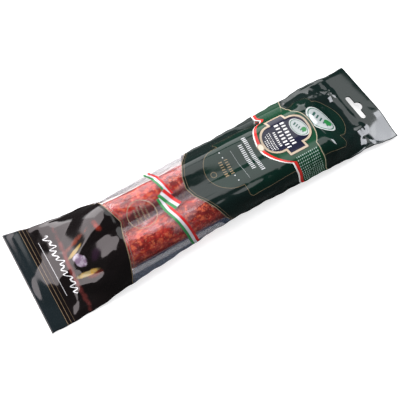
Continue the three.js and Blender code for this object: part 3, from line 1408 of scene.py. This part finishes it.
@dataclass(frozen=True)
class LabelFinish:
    """Satin label: green ground, a tricolour border, a navy plaque and blocks of small print."""

    name: str = "wrap label"
    ground: Colour = (0.003, 0.045, 0.018)
    shadow: Colour = (0.001, 0.012, 0.006)
    navy: Colour = (0.004, 0.005, 0.022)
    cream: Colour = (0.42, 0.34, 0.25)
    ivory: Colour = (0.7, 0.62, 0.5)
    red: Colour = (0.55, 0.025, 0.02)
    white: Colour = (0.8, 0.8, 0.78)
    mint: Colour = (0.42, 0.55, 0.5)
    middle: tuple = (81.2, 2.8)
    badge: OvalBadge = OvalBadge((97.9, 2.7), 15.5, 23.5, 20.0)
    seal: Spot = Spot((49.9, 2.0), (7.6, 8.2), 0.0)
    table_start: float = -26.0
    table_pitch: float = 3.1
    table_rows: int = 11

    def plaque(self, draw: Print) -> Wire:
        """Signed distance to the plaque: round ends along the pack and square ears across it."""
        body = draw.box(self.middle, (56.6, 33.6), 15.5)
        return body.low(draw.box(self.middle, (22.4, 48.0), 1.2))

    def table(self, draw: Print) -> Wire:
        """The table of small print on the near side, in two columns and two parts.

        Args:
            draw: the print's drawing place.

        Returns:
            Its mask.
        """
        rows = []
        for k in range(self.table_rows):
            v = self.table_start - k * self.table_pitch
            u = 86.0 + 0.32 * max(-38.0 - v, 0.0)
            rows.append(draw.blocks((u, v), (26.5, 1.5), 11, 0.0, float(k)))
        gap = draw.line(draw.u - 86.8, 1.2).high(draw.line(draw.v + 43.0, 1.3))
        return joined(rows) * (1.0 - gap)

    def material(self) -> bpy.types.Material:
        """Builds the label's material.

        Returns:
            The material.
        """
        bench = Bench(self.name)
        draw = bench.print_place()
        from_start = draw.u - LabelOutline.start(draw.v)
        from_end = LabelOutline.end(draw.v) - draw.u
        plaque = self.plaque(draw)
        seal = draw.oval(self.seal.centre, self.seal.size)
        colour = bench.mix(draw.beyond(from_start, 5.0), self.red, self.ground)
        colour = bench.mix(draw.beyond(from_start, 1.7), self.white, colour)
        for mask, ink in (
            (draw.line(from_end - 1.3, 0.9), self.cream),
            (draw.inside(plaque - 0.9), self.shadow),
            (draw.inside(plaque), self.cream),
            (draw.inside(plaque + 2.3), self.navy),
            (joined([row.mask(draw) for row in PLAQUE_ROWS]), self.white),
        ):
            colour = bench.mix(mask, colour, ink)
        colour = self.badge.on(bench, draw, colour)
        colour = bench.mix(draw.inside(seal), colour, self.cream)
        colour = bench.mix(draw.inside(seal + 1.0), colour, self.ivory)
        colour = bench.mix(self.table(draw) * 0.85, colour, self.mint)
        return bench.output(bench.surface({"Base Color": colour, "Roughness": 0.16, "IOR": 1.55}))


# ---------------------------------------------------------------- pieces


@dataclass
class FrontWeb:
    """The front web of the pouch."""

    form: PouchForm
    rows: int = 330
    columns: int = 55
    wall: float = 0.12 * MM
    calm_edge: float = 6 * MM
    points: Grid = field(init=False)
    flat: Grid = field(init=False)

    def surface(self) -> Grid:
        """The web's crumpled surface, never below the back web.

        Returns:
            Its points, rows along X.
        """
        base = self.form.weld + self.form.film
        points, flat = self.form.web(self.form.top_half, base, self.rows, self.columns)
        points = relaxed(points, 5)
        height = sum(crumple.field(flat) for crumple in CRUMPLES)
        from_edge = np.minimum(flat[:, -1:, 1] - flat[:, :, 1], flat[:, :, 1] - flat[:, :1, 1])
        height = height * smooth(from_edge / self.calm_edge)
        points = relaxed(points + grid_normals(points) * height[..., None], 1)
        under = self.form.lift(points[:, :, 0]) + self.form.curl(points[:, :, 0], points[:, :, 1])
        points[:, :, 2] = np.maximum(points[:, :, 2], under + self.form.film)
        self.flat = flat
        return points

    def build(self) -> bpy.types.Object:
        """Makes the web.

        Returns:
            The piece.
        """
        self.points = self.surface()
        piece = sheet_piece("front_web", self.points, self.flat, self.wall, -1.0)
        HangSlot(self.form).cut(piece)
        return finish(piece, FilmFinish().material())


@dataclass
class BackWeb:
    """The back web of the pouch."""

    form: PouchForm
    rows: int = 220
    columns: int = 36
    wall: float = 0.12 * MM
    points: Grid = field(init=False)

    def build(self) -> bpy.types.Object:
        """Makes the web.

        Returns:
            The piece.
        """
        points, flat = self.form.web(self.form.bottom_half, 0.0, self.rows, self.columns)
        self.points = relaxed(points, 3)
        piece = sheet_piece("back_web", self.points, flat, self.wall, 1.0)
        HangSlot(self.form).cut(piece)
        return finish(piece, FilmFinish(name="back film", face=Face.BACK).material())


@dataclass
class Sausage:
    """One straight cured sausage: a sphere drawn out, with domed ends and an uneven skin."""

    node: str
    name: str
    dome: float = 20 * MM
    dome_share: float = 0.12
    unevenness: float = 0.035
    segments: int = 96
    rings: int = 220

    def profile(self, polar: Grid, half: float) -> tuple[Grid, Grid]:
        """The sausage's outline.

        Args:
            polar: places from one pole of the sphere to the other, from 0 to 1.
            half: the sausage's half length.

        Returns:
            Places along the sausage, and the share of its full radius there.
        """
        share = self.dome_share
        from_end = np.minimum(polar, 1 - polar)
        turn = np.minimum(from_end / share, 1.0) * math.pi / 2
        in_dome = self.dome * (1 - np.cos(turn))
        straight = np.maximum(from_end - share, 0.0) / (1 - 2 * share) * 2 * (half - self.dome)
        return np.where(polar < 0.5, -1, 1) * (half - in_dome - straight), np.sin(turn)

    def build(self) -> bpy.types.Object:
        """Makes the sausage.

        Returns:
            The piece.
        """
        low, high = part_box(self.node)
        centre = (low + high) / 2
        radius = (high.z - low.z) / 2
        deselect()
        bpy.ops.mesh.primitive_uv_sphere_add(segments=self.segments, ring_count=self.rings, radius=1.0)
        piece = bpy.context.object
        piece.name = piece.data.name = self.name
        mesh = piece.data
        sphere = np.zeros(len(mesh.vertices) * 3)
        mesh.vertices.foreach_get("co", sphere)
        x, y, z = sphere.reshape(-1, 3).T
        axis, size = self.profile(np.arccos(np.clip(z, -1, 1)) / math.pi, (high.x - low.x) / 2)
        angle = np.arctan2(y, x)
        out, up = np.cos(angle), np.sin(angle)
        lumps = [
            noise.noise(Vector((a * 90, c * 1.6 + centre.y * 99, b * 1.6)))
            for a, b, c in zip(axis, out, up)
        ]
        size = size * (1 - self.unevenness * (0.5 + np.array(lumps))) * radius
        shaped = np.stack([centre.x + axis, centre.y + size * out, centre.z + size * up], 1)
        mesh.vertices.foreach_set("co", shaped.reshape(-1).astype(np.float32))
        mesh.update()
        on_all_faces(piece, bpy.ops.mesh.normals_make_consistent, inside=False)
        return finish(piece, MeatFinish(name=self.name + " meat").material())


@dataclass
class WrapLabel:
    """The label stuck across the front of the pouch and folded round both side edges."""

    form: PouchForm
    front: FrontWeb
    back: BackWeb
    stand_off: float = 0.15 * MM
    wall: float = 0.1 * MM
    far_flap: float = 8 * MM
    near_flap: float = 1.8 * MM
    flap_steps: int = 6
    fold: tuple = (0.6 * MM, 2 * MM)
    middle: float = 90 * MM
    rows: int = 72

    def flap(self, side: Side, reach: float) -> tuple[Grid, Grid]:
        """One flap, round a side edge of the pouch and back under it.

        Args:
            side: which edge.
            reach: how far it goes under the pouch.

        Returns:
            Its points and their places on the print, outwards from the edge.
        """
        rise = self.stand_off + self.wall
        at = -1 if side is Side.FAR else 0
        edge, flat = self.front.points[:, at], self.front.flat[:, at]
        under = np.interp(edge[:, 0], self.back.points[:, at, 0], self.back.points[:, at, 2])
        steps = [reach * k / self.flap_steps for k in range(self.flap_steps + 1)]
        profile = [(rise, edge[:, 2] - under)] + [(-step, -rise + 0 * under) for step in steps]
        on_print = [self.fold[0]] + [self.fold[1] + step for step in steps]
        points = [np.stack([edge[:, 0], edge[:, 1] + side.value * out, under + up], 1) for out, up in profile]
        places = [np.stack([flat[:, 0], flat[:, 1] + side.value * step], 1) for step in on_print]
        return np.stack(points, 1), np.stack(places, 1)

    def strip(self) -> tuple[Grid, Grid]:
        """The label's whole surface over the web's rows, with both flaps.

        Returns:
            Its points and their places on the print.
        """
        top = self.front.points + grid_normals(self.front.points) * (self.stand_off + self.wall)
        far, far_places = self.flap(Side.FAR, self.far_flap)
        near, near_places = self.flap(Side.NEAR, self.near_flap)
        points = np.concatenate([near[:, ::-1], top, far], 1)
        return points, np.concatenate([near_places[:, ::-1], self.front.flat, far_places], 1)

    def build(self) -> bpy.types.Object:
        """Makes the label.

        Returns:
            The piece.
        """
        points, flat = self.strip()
        across = points.shape[1]
        grid = np.zeros((self.rows, across, 3))
        places = np.zeros((self.rows, across, 2))
        xs = flat[:, across // 2, 0]
        for k in range(across):
            v = np.interp(self.middle, xs, flat[:, k, 1]) / MM
            first, last = LabelOutline.start(v) * MM, LabelOutline.end(v) * MM
            wanted = np.linspace(float(first), float(last), self.rows)
            for axis in range(3):
                grid[:, k, axis] = np.interp(wanted, xs, points[:, k, axis])
            places[:, k, 0] = wanted
            places[:, k, 1] = np.interp(wanted, xs, flat[:, k, 1])
        piece = sheet_piece("label", grid, places, self.wall, -1.0)
        return finish(piece, LabelFinish().material())


# ---------------------------------------------------------------- studio


@dataclass(frozen=True)
class Panel:
    """A rectangular soft light that faces the pack's middle."""

    name: str
    direction: tuple
    distance: float
    size: tuple
    radiance: float
    mirrored: bool = True
    colour: Colour = (1.0, 1.0, 1.0)


PANELS = (
    Panel("far wall", (0.1, 0.93, 0.36), 1.1, (2.4, 0.75), 1.9),
    Panel("far left panel", (-0.55, 0.66, 0.51), 1.0, (1.4, 0.95), 3.1, colour=(1.0, 0.9, 0.92)),
    Panel("top panel", (0.38, 0.35, 0.85), 1.1, (1.2, 0.55), 1.5),
    Panel("right key", (0.8, -0.05, 0.6), 1.0, (0.4, 0.4), 8.0, colour=(0.93, 0.94, 1.0)),
    Panel("high fill", (-0.1, 0.45, 0.9), 1.5, (1.2, 1.2), 4.2, mirrored=False),
)


@dataclass
class Studio:
    """Camera, lights and floor; angles in degrees, lengths in metres, the lens in millimetres."""

    elevation: float = 62.9
    azimuth: float = -40.3
    roll: float = 9.1
    distance: float = 0.564
    target: tuple = (-0.0224, -0.0074, 0.0)
    lens: float = 50.94
    sensor: float = 36.0
    floor_size: float = 6.0
    floor_gap: float = 0.3 * MM
    floor_glow: float = 0.72
    ambient: float = 0.05

    def camera(self) -> None:
        """Sets up the camera."""
        e, a, r = (math.radians(angle) for angle in (self.elevation, self.azimuth, self.roll))
        back = Vector((math.sin(a) * math.cos(e), -math.cos(a) * math.cos(e), math.sin(e)))
        right = Vector((0, 0, 1)).cross(back).normalized()
        up = back.cross(right)
        turned_right = right * math.cos(r) + up * math.sin(r)
        turned_up = up * math.cos(r) - right * math.sin(r)
        place = Vector(self.target) + back * self.distance
        axes = Matrix((turned_right, turned_up, back)).transposed().to_4x4()
        data = bpy.data.cameras.new("camera")
        data.lens = self.lens
        data.sensor_width = self.sensor
        data.clip_start = 0.01
        eye = bpy.data.objects.new("camera", data)
        eye.matrix_world = Matrix.Translation(place) @ axes
        bpy.context.scene.collection.objects.link(eye)
        bpy.context.scene.camera = eye

    def softbox(self, panel: Panel) -> None:
        """Adds one rectangular soft light.

        Args:
            panel: its size, place and strength.
        """
        data = bpy.data.lights.new(panel.name, "AREA")
        data.shape = "RECTANGLE"
        data.size, data.size_y = panel.size
        data.energy = panel.radiance * math.pi * panel.size[0] * panel.size[1]
        data.color = panel.colour
        lamp = bpy.data.objects.new(panel.name, data)
        direction = Vector(panel.direction).normalized()
        turn = direction.to_track_quat("Z", "Y").to_matrix().to_4x4()
        lamp.matrix_world = Matrix.Translation(direction * panel.distance) @ turn
        lamp.visible_glossy = panel.mirrored
        bpy.context.scene.collection.objects.link(lamp)

    def floor(self) -> None:
        """Makes the pale floor, just under the pack."""
        deselect()
        bpy.ops.mesh.primitive_plane_add(size=self.floor_size, location=(0, 0, -self.floor_gap))
        plane = bpy.context.object
        plane.name = "floor"
        bench = Bench("pale floor")
        sockets = {
            "Base Color": (0.5, 0.5, 0.5),
            "Roughness": 0.9,
            "Emission Color": (1.0, 1.0, 1.0),
            "Emission Strength": self.floor_glow,
        }
        plane.data.materials.append(bench.output(bench.surface(sockets)))
        plane.visible_glossy = False

    def build(self) -> None:
        """Sets up the whole studio."""
        self.camera()
        self.floor()
        world = bpy.data.worlds.new("studio")
        bpy.context.scene.world = world
        world.use_nodes = True
        background = world.node_tree.nodes["Background"]
        background.inputs[0].default_value = (1, 1, 1, 1)
        background.inputs[1].default_value = self.ambient
        for panel in PANELS:
            self.softbox(panel)
        bpy.context.scene.view_settings.view_transform = "Standard"


# ---------------------------------------------------------------- assembly


def keep(piece: bpy.types.Object, node: str) -> None:
    """Puts a finished piece on the pack in place of its CAD node.

    Args:
        piece: the piece.
        node: the CAD node.
    """
    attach(piece, "root")
    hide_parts(node)
    log.info("%s: %d faces", piece.name, len(piece.data.polygons))


def main() -> None:
    """Builds the studio and every piece of the pack."""
    logging.basicConfig(level=logging.INFO, format="%(name)s: %(message)s")
    Studio().build()
    form = PouchForm()
    back = BackWeb(form)
    keep(back.build(), "back_film")
    keep(Sausage("sausage_left", "left_sausage").build(), "sausage_left")
    keep(Sausage("sausage_right", "right_sausage").build(), "sausage_right")
    front = FrontWeb(form)
    keep(front.build(), "front_film")
    keep(WrapLabel(form, front, back).build(), "wrap_label")


if __name__ == "__main__":
    main()
